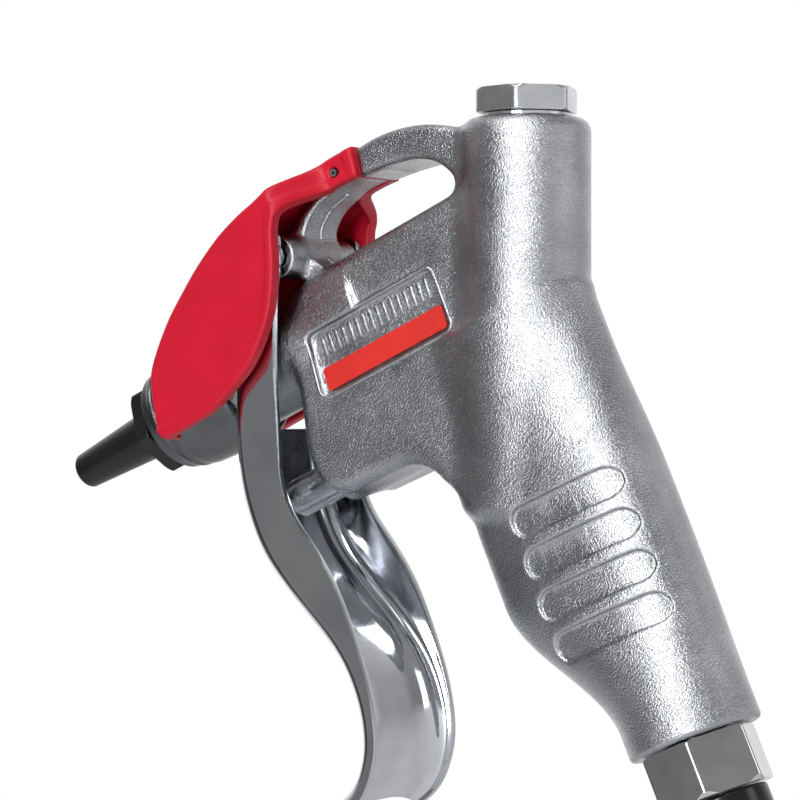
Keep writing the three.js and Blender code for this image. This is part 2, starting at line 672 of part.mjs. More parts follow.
const gun = new THREE.Group();
gun.add(
  piece('body_casting', geometryOf(casting()), 'casting'),
  piece('label_plate', labelPlate(), 'label'),
  valveGroup(),
  forwardGroup(
    PIN_Z,
    piece('push_pin', pushPin(), 'machined'),
    piece('pin_o_ring', pinORing(), 'rubber'),
    piece('gland_nut', glandNut(), 'brass'),
  ),
  forwardGroup(
    NOZZLE_Z,
    piece('nozzle_sleeve', nozzleSleeve(), 'darkChrome'),
    piece('sleeve_o_ring', sleeveORing(), 'rubber'),
    piece('nozzle_gasket', nozzleGasket(), 'rubber'),
    piece('nozzle', nozzle(), 'blackPlastic'),
  ),
  piece('lever', lever(), 'chrome'),
  pivotGroup(),
  piece('cover', cover(), 'red'),
  piece('inlet_bush', inletBush(), 'machined'),
  piece('inlet_ring', inletRing(), 'blackPlastic'),
  piece('inlet_strainer', inletStrainer(), 'brass'),
);
const rollPin = piece('cover_roll_pin', coverRollPin(), 'machined');
rollPin.position.set(COVER_PIN.x, 0, COVER_PIN.y);
gun.add(rollPin);

export default gun;
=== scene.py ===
"""Looks of the compressed-air blow gun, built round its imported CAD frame.

Shapes are worked out in millimetres in the part's frame (grip on +Z, nozzle along -X, badge
side facing -Y) and turned into metres when their meshes are made.
"""

import json
import math

import bpy
import numpy as np
from mathutils import Matrix, Vector


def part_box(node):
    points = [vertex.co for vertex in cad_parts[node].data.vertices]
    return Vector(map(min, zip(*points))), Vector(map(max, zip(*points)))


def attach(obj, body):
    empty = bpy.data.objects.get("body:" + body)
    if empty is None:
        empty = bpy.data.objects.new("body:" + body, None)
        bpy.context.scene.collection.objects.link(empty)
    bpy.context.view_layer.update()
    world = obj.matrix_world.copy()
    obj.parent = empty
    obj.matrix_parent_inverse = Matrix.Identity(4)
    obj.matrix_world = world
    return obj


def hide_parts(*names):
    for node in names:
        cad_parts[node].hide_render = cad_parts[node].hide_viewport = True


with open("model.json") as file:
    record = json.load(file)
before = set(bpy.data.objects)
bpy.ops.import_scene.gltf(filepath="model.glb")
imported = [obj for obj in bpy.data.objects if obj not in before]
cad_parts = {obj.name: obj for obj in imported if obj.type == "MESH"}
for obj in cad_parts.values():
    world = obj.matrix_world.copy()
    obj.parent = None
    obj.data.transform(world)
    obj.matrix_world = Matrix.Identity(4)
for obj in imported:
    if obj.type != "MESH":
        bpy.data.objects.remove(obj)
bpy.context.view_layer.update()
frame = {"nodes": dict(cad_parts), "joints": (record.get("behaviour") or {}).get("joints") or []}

MM = 0.001


def centre(node):
    """Middle of a CAD node's box, in millimetres."""
    low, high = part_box(node)
    return (np.array(low) + np.array(high)) / 2 / MM


JOINTS = {joint["name"]: joint for joint in frame["joints"]}
PIVOT = np.array(JOINTS["lever_swing"]["pos_m"]) / MM
PIVOT_HOLE_R = 2.3
PIVOT_BOSS_R = 4.0
VALVE_DIRECTION = np.array(JOINTS["stem_lift"]["axis"])
TILT = math.atan2(VALVE_DIRECTION[0], VALVE_DIRECTION[2])
NOZZLE_Z = centre("nozzle_sleeve")[2]
PIN_Z = centre("push_pin")[2]
VALVE_Z = 102.0  # height at which the valve axis crosses x = 0
CYLINDER_R = 11.85
CYLINDER_TOP = 32.0
WEB_HALF = 9.3
BADGE_FLOOR = 8.7  # distance of the badge field's floor from the middle plane
COLLAR_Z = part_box("body_casting")[0][2] / MM


# ---------------------------------------------------------------- curves and distance fields
def smooth(pairs, steps=8):
    """Points of a smooth open curve through [x, z] pairs."""
    knots = np.array(pairs, float)
    ends = np.vstack([2 * knots[0] - knots[1], knots, 2 * knots[-1] - knots[-2]])
    points = []
    for p0, p1, p2, p3 in zip(ends, ends[1:], ends[2:], ends[3:]):
        for t in np.arange(steps) / steps:
            points.append(0.5 * (2 * p1 + (p2 - p0) * t + (2 * p0 - 5 * p1 + 4 * p2 - p3) * t**2
                                 + (3 * p1 - p0 - 3 * p2 + p3) * t**3))
    points.append(knots[-1])
    return [tuple(p) for p in points]


def arc(x, z, radius, start, end, steps=8):
    """Points of an arc, its angles in degrees."""
    turns = np.radians(np.linspace(start, end, steps + 1))
    return [(x + radius * math.cos(t), z + radius * math.sin(t)) for t in turns]


def outline_distance(x, z, outline):
    """Signed distance of points to a closed x-z outline, negative inside."""
    best = np.full(np.broadcast(x, z).shape, 1e9)
    inside = np.zeros(best.shape, bool)
    corners = [p for i, p in enumerate(outline) if math.dist(p, outline[i - 1]) > 1e-6]
    for (ax, az), (bx, bz) in zip(corners, corners[1:] + corners[:1]):
        ex, ez = bx - ax, bz - az
        wx, wz = x - ax, z - az
        t = np.clip((wx * ex + wz * ez) / (ex * ex + ez * ez), 0, 1)
        best = np.minimum(best, (wx - ex * t) ** 2 + (wz - ez * t) ** 2)
        if az != bz:
            inside ^= ((az > z) != (bz > z)) & (wx < ex * wz / ez)
    return np.where(inside, -1, 1) * np.sqrt(best)


def both(a, b, radius=0.0):
    """Distance to what two fields share, with the edge between them rounded."""
    a, b = a + radius, b + radius
    outside = np.hypot(np.maximum(a, 0), np.maximum(b, 0))
    return np.minimum(np.maximum(a, b), 0) + outside - radius


def joined(a, b, fillet):
    """Distance to either of two fields, with a fillet where they meet."""
    near = np.maximum(fillet - np.abs(a - b), 0) / fillet
    return np.minimum(a, b) - near * near * fillet / 4


def cut(a, b, softness=0.35):
    """Distance to field a with field b taken away."""
    return -joined(-a, b, softness)


def slab(flat, y, half, radius=0.0):
    """An x-z field extruded to |y| <= half."""
    return both(flat, np.abs(y) - half, radius)


def bar(radial, along, low, high, size, radius=0.0):
    """A round bar of radius size between two places along its axis."""
    return both(radial - size, np.maximum(low - along, along - high), radius)


def ramp(value, low, high):
    """Smooth step from 0 at low to 1 at high."""
    t = np.clip((value - low) / (high - low), 0, 1)
    return t * t * (3 - 2 * t)


# ---------------------------------------------------------------- meshes
def add_mesh(name, points, faces, place=None):
    """A smooth-shaded object from millimetre points."""
    mesh = bpy.data.meshes.new(name)
    mesh.from_pydata((np.asarray(points, float) * MM).tolist(), [], [list(f) for f in faces])
    mesh.validate()
    mesh.shade_smooth()
    obj = bpy.data.objects.new(name, mesh)
    bpy.context.scene.collection.objects.link(obj)
    if place is not None:
        obj.matrix_world = place
    return obj


def surface_net(field, low, high, cell):
    """Points and quads of the zero surface of a distance field inside a box."""
    low = np.array(low, float) - 2.3 * cell
    counts = np.ceil((np.array(high) - low) / cell).astype(int) + 4
    x, y, z = (low[i] + cell * np.arange(counts[i]) for i in range(3))
    value = field(x[:, None, None], y[None, :, None], z[None, None, :]).astype(np.float32)
    inside = value < 0
    corner_count = np.zeros(counts - 1, np.int8)
    for i in (0, 1):
        for j in (0, 1):
            for k in (0, 1):
                corner_count += inside[i:counts[0] - 1 + i, j:counts[1] - 1 + j,
                                       k:counts[2] - 1 + k]
    active = (corner_count > 0) & (corner_count < 8)
    cells = np.argwhere(active)
    index = np.full(active.shape, -1)
    index[active] = np.arange(len(cells))
    total = np.zeros((len(cells), 3))
    hits = np.zeros(len(cells))
    unit = np.eye(3, dtype=int)
    for axis in range(3):
        for u in (0, 1):
            for v in (0, 1):
                start = cells + u * unit[(axis + 1) % 3] + v * unit[(axis + 2) % 3]
                end = start + unit[axis]
                a, b = value[tuple(start.T)], value[tuple(end.T)]
                crossed = (a < 0) != (b < 0)
                share = np.where(crossed, a / np.where(crossed, a - b, 1), 0)
                total += crossed[:, None] * (start + share[:, None] * unit[axis])
                hits += crossed
    points = low + cell * total / hits[:, None]
    quads = []
    for axis in range(3):
        u, v = unit[(axis + 1) % 3], unit[(axis + 2) % 3]
        size = counts - unit[axis]
        first = inside[:size[0], :size[1], :size[2]]
        second = inside[tuple(slice(unit[axis][i], None) for i in range(3))]
        at = np.argwhere(first != second)
        quad = np.stack([index[tuple((at - u - v).T)], index[tuple((at - v).T)],
                         index[tuple(at.T)], index[tuple((at - u).T)]], axis=1)
        outward = first[tuple(at.T)]
        quads.append(np.where(outward[:, None], quad, quad[:, ::-1]))
    return points, np.concatenate(quads)


def field_object(name, field, node, cell, faces_kept):
    """An object from a distance field in a CAD node's box, its points drawn on to the exact
    surface."""
    low, high = (np.array(corner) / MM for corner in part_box(node))
    points, quads = surface_net(field, low, high, cell)
    step = 0.03  # for the field's slope
    for _ in range(3):
        here = field(*points.T)
        slope = np.stack([(field(*(points + step * np.eye(3)[i]).T) - here) / step
                          for i in range(3)], axis=1)
        steep = np.maximum((slope**2).sum(1), 0.25)
        move = -np.clip(here, -0.5 * cell, 0.5 * cell)[:, None] * slope / steep[:, None]
        points = points + move
    obj = add_mesh(name, points, quads)
    triangles = 2 * len(quads)
    if triangles > faces_kept:
        thinning = obj.modifiers.new("thinning", "DECIMATE")
        thinning.ratio = faces_kept / triangles
    return obj


def rounded(profile, radius, steps=3):
    """A profile with each corner replaced by a small arc; its two ends stay."""
    points = [np.array(p, float) for p in profile]
    closed = np.allclose(points[0], points[-1])
    if closed:
        points = points[:-1]
    made = []
    for i, p in enumerate(points):
        if not closed and i in (0, len(points) - 1):
            made.append(p)
            continue
        before, after = points[i - 1] - p, points[(i + 1) % len(points)] - p
        reach = [min(radius, 0.45 * np.linalg.norm(side)) for side in (before, after)]
        a = p + before / np.linalg.norm(before) * reach[0]
        b = p + after / np.linalg.norm(after) * reach[1]
        for t in np.arange(steps + 1) / steps:
            made.append((1 - t) ** 2 * a + 2 * t * (1 - t) * p + t**2 * b)
    if closed:
        made.append(made[0])
    return made


def subdivided(profile, longest):
    """A profile whose segments are no longer than longest."""
    made = [np.array(profile[0], float)]
    for a, b in zip(profile, profile[1:]):
        a, b = np.array(a, float), np.array(b, float)
        pieces = max(1, math.ceil(np.linalg.norm(b - a) / longest))
        made += [a + (b - a) * i / pieces for i in range(1, pieces + 1)]
    return made


def lathe(name, profile, place, segments=96, hexagon=None, step=1.5):
    """Turns a [radius, height] profile. hexagon = (across flats, corner angle, low, high) also
    trims it to a hexagon between two heights."""
    profile = subdivided(profile, step)
    closed = np.allclose(profile[0], profile[-1])
    if closed:
        profile = profile[:-1]
    start = hexagon[1] if hexagon else 0.0
    turns = start + np.arange(segments) * 2 * math.pi / segments
    points, rings = [], []
    for radius, height in profile:
        if radius < 1e-6:
            rings.append([len(points)] * segments)
            points.append((0, 0, height))
            continue
        radii = np.full(segments, radius)
        if hexagon and hexagon[2] - 1e-6 <= height <= hexagon[3] + 1e-6:
            sector = (turns - start) % (math.pi / 3) - math.pi / 6
            flats = hexagon[0] / 2 / np.cos(sector)
            radii = np.minimum(radii, flats)
        rings.append(list(range(len(points), len(points) + segments)))
        points += [(r * math.cos(t), r * math.sin(t), height) for r, t in zip(radii, turns)]
    faces = []
    pairs = list(zip(rings, rings[1:]))
    if closed:
        pairs.append((rings[-1], rings[0]))
    for lower, upper in pairs:
        for i in range(segments):
            j = (i + 1) % segments
            quad = [lower[i], lower[j], upper[j], upper[i]]
            face = [v for n, v in enumerate(quad) if v not in quad[:n]]
            if len(face) > 2:
                faces.append(face)
    return add_mesh(name, points, faces, place)


def placed(origin, rotation):
    """Placement of a piece made round +Z, from a millimetre origin."""
    return Matrix.Translation(Vector(origin) * MM) @ rotation.to_4x4()


ON_VALVE = placed((0, 0, VALVE_Z), Matrix.Rotation(TILT, 3, "Y"))
UPRIGHT = placed((0, 0, 0), Matrix.Identity(3))
FORWARDS = Matrix.Rotation(-math.pi / 2, 3, "Y")
ON_NOZZLE = placed((0, 0, NOZZLE_Z), FORWARDS)
ON_PIN = placed((0, 0, PIN_Z), FORWARDS)
ON_PIVOT = placed(PIVOT, Matrix.Rotation(-math.pi / 2, 3, "X"))


# ---------------------------------------------------------------- casting
def grip_distance(x, y, z):
    """Roughly the distance to the grip's swelling, squared-oval column."""
    swell = ramp(z, COLLAR_Z + 5, COLLAR_Z + 35)
    crown = ramp(z, 62, 88)
    front = 12.4 + 13.3 * swell
    rear = 12.2
    side = 12.2 - 0.6 * swell
    power = 2 + 0.9 * swell * (1 - crown)
    reach = (rear + front) / 2
    u = (x - (rear - front) / 2) / reach
    taper = 1 - (0.2 * swell + 0.28 * crown) * np.maximum(0, -np.clip(u, -1.2, 1.2)) ** 2
    v = y / (side * taper)
    measure = (np.abs(u) ** power + np.abs(v) ** power + 1e-9) ** (1 / power)
    radial = np.hypot(u * reach, y)
    return radial * (1 - 1 / measure)


GROOVES = [
    [*arc(6.6, 38 + 7.9 * i, 2.75, -90, 90), *arc(-12 + 0.4 * i, 38 + 7.9 * i, 2.75, 90, 270)]
    for i in range(4)
]
WEB = [
    (2, 123.3), (-37.5, 123.3),
    *smooth([(-40.5, 122.9), (-44, 120.4), (-46.8, 116.6), (-48.4, 110.5), (-50.1, 101),
             (-52.1, 93), (-51.8, 87.6), (-49.8, 84), (-46, 82.2)], 5),
    *arc(-34.5, 72.8, 9, 90, 20), (-20, 66), (-8, 70),
]
ARCH_BACK = [
    *smooth([(6, 131.5), (1.4, 135), (-3.6, 138), (-9, 140), (-14.6, 141), (-19.6, 141)], 5),
    *smooth([(-20.5, 136), (-14.7, 134.9), (-9, 133.4), (-5, 131), (-2.6, 127.6),
             (-2.4, 125), (-3.6, 122.5)], 5), (4, 118),
]
LOOP_INSIDE = smooth([(-36.2, 124.2), (-38.1, 127.6), (-38.2, 130.2), (-36.8, 133),
                      (-33.8, 135.1), (-30.4, 136), (-26, 136.6), (-20.4, 136), (-16, 135.4)], 6)
ARCH_FRONT = [
    (-16, 140.6),
    *smooth([(-19.6, 140.6), (-26, 139.9), (-30.5, 138), (-35, 136.3), (-39, 134.3),
             (-41.2, 131.5), (-41.8, 127), (-41.4, 121)], 5),
    (-34, 117), (-34.4, 123), *LOOP_INSIDE,
]


def badge_outline(inset):
    """The slanted rounded field on each side of the web."""
    radius = 2.4 - inset
    left, right = -44.3 + inset, -11.2 - inset
    low, high = 99.5 + inset, 113.4 - inset
    return [
        *arc(right - radius, low + radius, radius, -90, 0),
        *arc(right - radius, high - radius, radius, 0, 90),
        *arc(left + radius + 1, high - radius, radius, 90, 180),
        *arc(left + radius, low + radius, radius, 180, 270),
    ]


def on_valve_axis(x, y, z):
    """Distance from the leaning valve axis, and place along it."""
    along = x * math.sin(TILT) + (z - VALVE_Z) * math.cos(TILT)
    across = x * math.cos(TILT) - (z - VALVE_Z) * math.sin(TILT)
    return np.hypot(across, y), along


def casting_outside(x, y, z):
    """The casting's skin, before its grooves, badge fields and bores."""
    grip = both(grip_distance(x, y, z), np.maximum(COLLAR_Z - z, z - 99), 0.9)
    from_valve, along = on_valve_axis(x, y, z)
    cylinder = bar(from_valve, along, -41, CYLINDER_TOP, CYLINDER_R, 2.7)
    ahead = np.hypot(y, z - NOZZLE_Z)
    barrel = bar(ahead, -x, 30, 70.5, 10.2, 0.5)
    spigot = bar(ahead, -x, 60, 79, 8, 0.4)
    pin_boss = bar(np.hypot(y, z - PIN_Z), -x, 12, 50.8, 5.5, 0.4)
    from_pivot = np.hypot(x - PIVOT[0], z - PIVOT[2])
    pivot_boss = bar(from_pivot, np.abs(y), -1, 10.5, PIVOT_BOSS_R, 0.3)
    shape = joined(grip, cylinder, 2.2)
    shape = joined(shape, slab(outline_distance(x, z, WEB), y, WEB_HALF, 2.8), 2.4)
    shape = joined(shape, slab(outline_distance(x, z, ARCH_BACK), y, 7, 1.4), 1.8)
    shape = joined(shape, slab(outline_distance(x, z, ARCH_FRONT), y, 5.4, 0.6), 1.2)
    shape = joined(shape, pivot_boss, 1.8)
    shape = joined(shape, barrel, 1.6)
    shape = joined(shape, spigot, 0.6)
    return joined(shape, pin_boss, 1.6)


def casting_field(x, y, z):
    """The whole casting, with finger grooves, badge fields and bores cut away."""
    shape = casting_outside(x, y, z)
    groove = np.minimum.reduce([outline_distance(x, z, g) for g in GROOVES])
    shape = cut(shape, np.maximum(groove, -(grip_distance(x, y, z) + 0.85)), 0.6)
    badge = outline_distance(x, z, badge_outline(0.9))
    shape = cut(shape, np.maximum(badge, BADGE_FLOOR - np.abs(y)), 0.4)
    valve, along = on_valve_axis(x, y, z)
    ahead = np.hypot(y, z - NOZZLE_Z)
    pin = np.hypot(y, z - PIN_Z)
    grip = np.hypot(x, y)
    bores = [
        bar(valve, along, -6.9, 5, 4.6), bar(valve, along, 4, 23, 5.8),
        bar(valve, along, 22, 40, 7.1), bar(valve, along, -18.6, -5.9, 2.5),
        bar(grip, z, 25, 72, 4.5), bar(np.hypot(x - 4.6, y), z, 68, 106, 2.4),
        bar(grip, z, 10, 27, 6.3), bar(ahead, -x, -2, 90, 3.2),
        bar(pin, -x, 0.1, 40, 2.7), bar(pin, -x, 33.7, 60, 4.1),
        bar(np.hypot(x - PIVOT[0], z - PIVOT[2]), y, -20, 20, PIVOT_HOLE_R),
        both(np.abs(ahead - 8) - 1.4, np.abs(-x - 76.05) - 0.95),
    ]
    return cut(shape, np.minimum.reduce(np.broadcast_arrays(*bores)), 0.25)


def swept(name, routes, half_width, half_height, closed=True, sides=12):
    """Low rounded ridges, each along a list of (point, side direction, up direction) rows."""
    points, faces = [], []
    for route in routes:
        base = len(points)
        for at, side, up in route:
            for i in range(sides):
                turn = 2 * math.pi * i / sides
                points.append(at + side * half_width * math.cos(turn)
                              + up * half_height * math.sin(turn))
        rows = len(route)
        for i in range(rows if closed else rows - 1):
            for j in range(sides):
                a, b = base + i * sides + j, base + i * sides + (j + 1) % sides
                after = base + ((i + 1) % rows) * sides
                faces.append((a, after + j, after + (j + 1) % sides, b))
        if not closed:
            faces.append(tuple(range(base, base + sides)))
            faces.append(tuple(base + (rows - 1) * sides + j for j in reversed(range(sides))))
    return add_mesh(name, points, faces)


RIBS = 16


def badge_ribs(side):
    """Routes of the plain raised ribs in the upper part of a badge field."""
    routes = []
    for i in range(RIBS):
        x = -39.6 + 1.7 * i
        rows = [(107.2, 0.05), (107.5, 1), (111.2, 1), (111.5, 0.05)]
        routes.append([(np.array((x, side * BADGE_FLOOR, z)), np.array((size, 0.0, 0.0)),
                        np.array((0.0, side * size, 0.0))) for z, size in rows])
    return routes


def ridge_route(outline, y, closed=True):
    """Rows for swept() that follow an x-z outline at one y."""
    rows = []
    corners = [np.array(p) for i, p in enumerate(outline) if i == 0 or
               math.dist(p, outline[i - 1]) > 1e-6]
    last = len(corners) - 1
    for i, p in enumerate(corners):
        before = corners[i - 1] if closed or i else p
        after = corners[(i + 1) % len(corners)] if closed or i < last else p
        along = (after - before) / np.linalg.norm(after - before)
        rows.append((np.array((p[0], y, p[1])), np.array((-along[1], 0, along[0])),
                     np.array((0.0, math.copysign(1, y), 0.0))))
    return rows


# ---------------------------------------------------------------- cover
COVER_TOP = smooth([(-20.2, 142), (-25, 142.3), (-28.5, 142.1), (-31.6, 141.2), (-35, 140),
                    (-39, 139), (-43.5, 138.2), (-49.3, 136.6), (-55.5, 133.9),
                    (-61.2, 130.7), (-67.5, 126.6), (-74.2, 120.4), (-76.4, 115.4),
                    (-78, 108.4)], 5)
COVER_RIM = smooth([(-76.4, 106.2), (-70, 106.3), (-63.9, 106.6), (-58.6, 108.1),
                    (-52.8, 110.3), (-48.6, 113.1), (-44.2, 117.2), (-41.2, 121.6),
                    (-38.7, 126.7), (-37.1, 131.1), (-35.3, 134), (-32.4, 135.8),
                    (-27, 136.4), (-21.1, 136)], 5)
COVER_HALF = 17.2
TAB_HALF = 7.3
NOSE_ROOM = 12.3  # half width of the mouth that the nozzle comes out of
COVER_PIN = (-25.8, 139)
COVER_PIN_HOLE_R = 1.05


def cover_half(x):
    """Half width of the cover at x: wide cheeks drawn in to the narrow tab."""
    return TAB_HALF + (COVER_HALF - TAB_HALF) * (1 - ramp(x, -35.7, -27.3))


def cover_field(x, y, z):
    """The thin moulded cover: a domed outside, less its inside, nose mouth and pin hole."""
    profile = outline_distance(x, z, COVER_TOP + COVER_RIM)
    roof = outline_distance(x, z, COVER_TOP + [(-60, 60), (-21.1, 60)])
    from_rim = outline_distance(x, z, COVER_RIM + [(-21.1, 200), (-120, 200), (-120, 106.2)])
    half = cover_half(x)
    slope = (cover_half(x + 0.1) - cover_half(x - 0.1)) / 0.2
    steep = np.sqrt(1 + slope**2)
    band = 1.5 + 0.9 * ramp(-x, 46, 66)
    lip = 0.4 * (1 - ramp(-from_rim, band, band + 0.5))
    side = (np.abs(y) - half) / steep + 0.4 - lip
    outside = both(both(roof, side, 1.1), profile, 0.35)
    inner_side = (np.abs(y) - half) / steep + 2.6
    inner_roof = both(roof + 1.7, inner_side, 0.8)
    tab_floor = np.maximum(inner_roof, z - 140.9)
    ahead = np.hypot(y, z - NOZZLE_Z)
    shape = cut(outside, tab_floor, 0.5)
    mouth = np.maximum(np.abs(y) - NOSE_ROOM, z - NOZZLE_Z)
    shape = cut(shape, bar(np.minimum(ahead - NOSE_ROOM, mouth), -x, 40, 100, 0), 0.5)
    pin = np.hypot(x - COVER_PIN[0], z - COVER_PIN[1])
    return cut(shape, bar(pin, y, -20, 20, COVER_PIN_HOLE_R), 0.2)


# ---------------------------------------------------------------- lever
LEVER_HALF = 12.3
LEVER_WALL = 1.4
WINDOW_LOW = 102.2
LEVER_STATIONS = np.array([
    # front x, front z, free edge x, free edge z, corner width
    (-43.2, 133.6, -39.6, 133, 1.2), (-46.0, 131.8, -38.3, 131.8, 2.2),
    (-47.2, 129.6, -39.3, 129.2, 2.6), (-48.8, 126, -41.1, 125.4, 3),
    (-53, 119.5, -44, 120.4, 3), (-57.6, 112.2, -47, 114.2, 3),
    (-61.3, 105, -50, 107.2, 3), (-64, 98, -52.6, 99.6, 3), (-65.5, 93, -54.9, 93.4, 3),
    (-66.3, 87.5, -56.8, 87.1, 3), (-66.4, 81, -56.2, 80.6, 3), (-65.3, 75, -54.4, 74.4, 3.2),
    (-62.6, 67, -52.9, 67.2, 3.6), (-59.8, 60, -52.6, 60.2, 4.4), (-58, 53, -52.8, 53.2, 6),
    (-57.8, 46, -53.4, 46, 7), (-58.8, 40, -54.9, 39.6, 7), (-60.4, 35.6, -57, 34.4, 7),
    (-63.2, 31.8, -60.8, 29.8, 7), (-66.6, 29.6, -65, 26.9, 7), (-70.6, 28.6, -69.8, 25.8, 7),
])


def fair(rows, spread):
    """Rows of numbers smoothed along their order, with the two ends kept."""
    reach = 3 * spread
    weights = np.exp(-0.5 * (np.arange(-reach, reach + 1) / spread) ** 2)
    weights /= weights.sum()
    head = 2 * rows[0] - rows[reach:0:-1]
    tail = 2 * rows[-1] - rows[-2:-reach - 2:-1]
    padded = np.vstack([head, rows, tail])
    return np.stack([np.convolve(column, weights, "valid") for column in padded.T], axis=1)


def lever_sheet():
    """The outer skin of the lever's U channel, open between its ears."""
    pairs = [smooth(LEVER_STATIONS[:, i:i + 2], 10) for i in (0, 2)]
    corners = [(p[1],) for p in smooth([(i, c) for i, c in enumerate(LEVER_STATIONS[:, 4])], 10)]
    rows = fair(np.hstack([pairs[0], pairs[1], corners]), 4)
    points, faces = [], []
    flange, bend, web = 6, 8, 10  # steps across each part of the channel
    for fx, fz, rx, rz, corner in rows:
        front = np.array((fx, 0, fz))
        depth = np.array((rx, 0, rz)) - front
        reach = np.linalg.norm(depth)
        depth /= reach
        turn_in = min(3.2, reach - 0.8)
        section = [(LEVER_HALF, reach + (turn_in - reach) * i / flange) for i in range(flange)]
        for i in range(bend):
            turn = math.pi / 2 * (1 - i / bend)
            section.append((LEVER_HALF - corner + corner * math.sin(turn),
                            turn_in - turn_in * math.cos(turn)))
        edge = LEVER_HALF - corner
        section += [(edge * (1 - 2 * i / web), 0.0) for i in range(web + 1)]
        section += [(-y, back) for y, back in section[flange + bend - 1::-1]]
        points += [front + depth * back + np.array((0, y, 0)) for y, back in section]
    columns = len(section)
    first = flange + bend
    for i in range(len(rows) - 1):
        above_window = rows[i][1] > WINDOW_LOW
        for j in range(columns - 1):
            if above_window and first - 3 <= j < columns - 1 - first + 3:
                continue
            a = i * columns + j
            faces.append((a, a + 1, a + columns + 1, a + columns))
    used = sorted({v for f in faces for v in f})
    renumber = {v: n for n, v in enumerate(used)}
    points = [points[v] for v in used]
    return points, [tuple(renumber[v] for v in f) for f in faces]


def lever():
    """The lever as a sheet of even thickness with softened edges."""
    points, faces = lever_sheet()
    obj = add_mesh("lever_pressing", points, faces)
    sheet = obj.modifiers.new("sheet", "SOLIDIFY")
    sheet.thickness = LEVER_WALL * MM
    sheet.offset = -1
    edges = obj.modifiers.new("edges", "BEVEL")
    edges.width = 0.32 * MM
    edges.segments = 3
    edges.angle_limit = math.radians(50)
    return obj


# ---------------------------------------------------------------- materials
def new_material(name, color, metallic, roughness, **sockets):
    """A material with its shader's plain values set."""
    material = bpy.data.materials.new(name)
    material.use_nodes = True
    tree = material.node_tree
    shader = tree.nodes["Principled BSDF"]
    shader.inputs["Base Color"].default_value = (*color, 1)
    shader.inputs["Metallic"].default_value = metallic
    shader.inputs["Roughness"].default_value = roughness
    for socket, value in sockets.items():
        shader.inputs[socket.replace("_", " ")].default_value = value
    return material, tree, shader


def noise(tree, scale, detail=2.0, stretch=(1, 1, 1)):
    """Noise in the piece's own metres; stretch below 1 draws it out along an axis."""
    coordinates = tree.nodes.new("ShaderNodeTexCoord")
    mapping = tree.nodes.new("ShaderNodeMapping")
    mapping.inputs["Scale"].default_value = stretch
    texture = tree.nodes.new("ShaderNodeTexNoise")
    texture.inputs["Scale"].default_value = scale
    texture.inputs["Detail"].default_value = detail
    tree.links.new(coordinates.outputs["Object"], mapping.inputs["Vector"])
    tree.links.new(mapping.outputs["Vector"], texture.inputs["Vector"])
    return texture.outputs["Fac"]


def ranged(tree, value, low, high, start=0.3, end=0.7):
    """A texture value spread from start..end to low..high."""
    node = tree.nodes.new("ShaderNodeMapRange")
    node.inputs["From Min"].default_value = start
    node.inputs["From Max"].default_value = end
    node.inputs["To Min"].default_value = low
    node.inputs["To Max"].default_value = high
    tree.links.new(value, node.inputs["Value"])
    return node.outputs["Result"]


def tinted(tree, shader, value, dark, light, start=0.3, end=0.7):
    """Base colour that drifts between two tones with a texture value."""
    node = tree.nodes.new("ShaderNodeValToRGB")
    node.color_ramp.elements[0].position = start
    node.color_ramp.elements[1].position = end
    node.color_ramp.elements[0].color = (*dark, 1)
    node.color_ramp.elements[1].color = (*light, 1)
    tree.links.new(value, node.inputs["Fac"])
    tree.links.new(node.outputs["Color"], shader.inputs["Base Color"])


def bumped(tree, shader, *layers):
    """Stacks (height value, depth in millimetres) bumps on a shader."""
    normal = None
    for height, depth in layers:
        bump = tree.nodes.new("ShaderNodeBump")
        bump.inputs["Strength"].default_value = 1.0
        bump.inputs["Distance"].default_value = depth * MM
        tree.links.new(height, bump.inputs["Height"])
        if normal is not None:
            tree.links.new(normal, bump.inputs["Normal"])
        normal = bump.outputs["Normal"]
    tree.links.new(normal, shader.inputs["Normal"])


def metal(name, dark, light, roughness, grain, depth, fine=0.0, stretch=(1, 1, 1)):
    """A metal finish: drifting tone, uneven gloss, and a grain bump of a given scale."""
    material, tree, shader = new_material(name, light, 1.0, sum(roughness) / 2)
    tinted(tree, shader, noise(tree, 90), dark, light)
    gloss = ranged(tree, noise(tree, 260, 3), *roughness)
    tree.links.new(gloss, shader.inputs["Roughness"])
    layers = [(noise(tree, grain, 2, stretch), depth)]
    if fine:
        layers.append((noise(tree, grain * 2.7, 1, stretch), fine))
    bumped(tree, shader, *layers)
    return material


def plastic(name, dark, light, roughness, grain, depth, **sockets):
    """A moulded finish: drifting tone, uneven gloss and a fine grain bump."""
    material, tree, shader = new_material(name, light, 0.0, sum(roughness) / 2, **sockets)
    tinted(tree, shader, noise(tree, 120, 3), dark, light)
    gloss = ranged(tree, noise(tree, 400, 3), *roughness)
    tree.links.new(gloss, shader.inputs["Roughness"])
    bumped(tree, shader, (noise(tree, grain, 2), depth))
    return material


